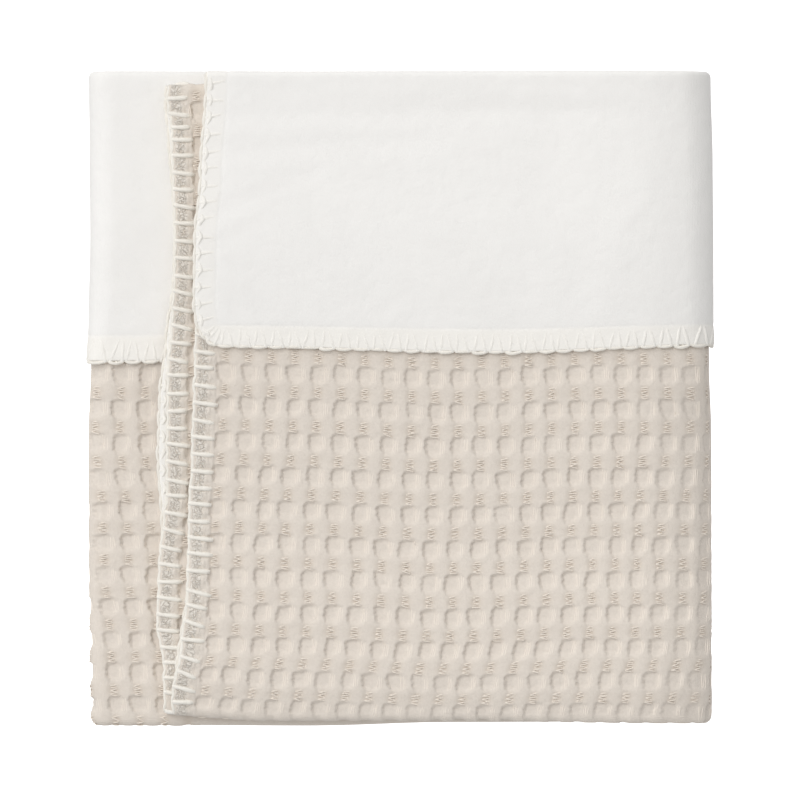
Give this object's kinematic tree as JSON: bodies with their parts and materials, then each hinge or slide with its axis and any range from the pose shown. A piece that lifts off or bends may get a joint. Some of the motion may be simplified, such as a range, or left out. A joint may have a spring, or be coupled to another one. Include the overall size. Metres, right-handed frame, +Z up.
{
  "type": "waffle weave cotton blanket, folded",
  "caption": "Folded cotton blanket with a waffle weave face, a plain white lining turned down as a cuff and a stitched yarn edge; lies flat on a shelf, cot or bed.",
  "frame": {"origin": "centre of the folded stack's box in plan, on the plane that it rests on", "axes": "+X across the stack, from its hems to its squarish outer fold, +Y along it to the end with the turned-down cuff, +Z up"},
  "size_m": [0.278, 0.2898, 0.0429],
  "materials": {
    "waffle_cotton": "matt, deep waffle weave",
    "lining_cotton": "matt, brushed plain weave",
    "yarn": "soft twisted cotton yarn"
  },
  "bodies": {
    "root": {"waffle_cloth": "waffle_cotton", "lining_cloth": "lining_cotton", "edging_yarn": "yarn"}
  },
  "joints": []
}
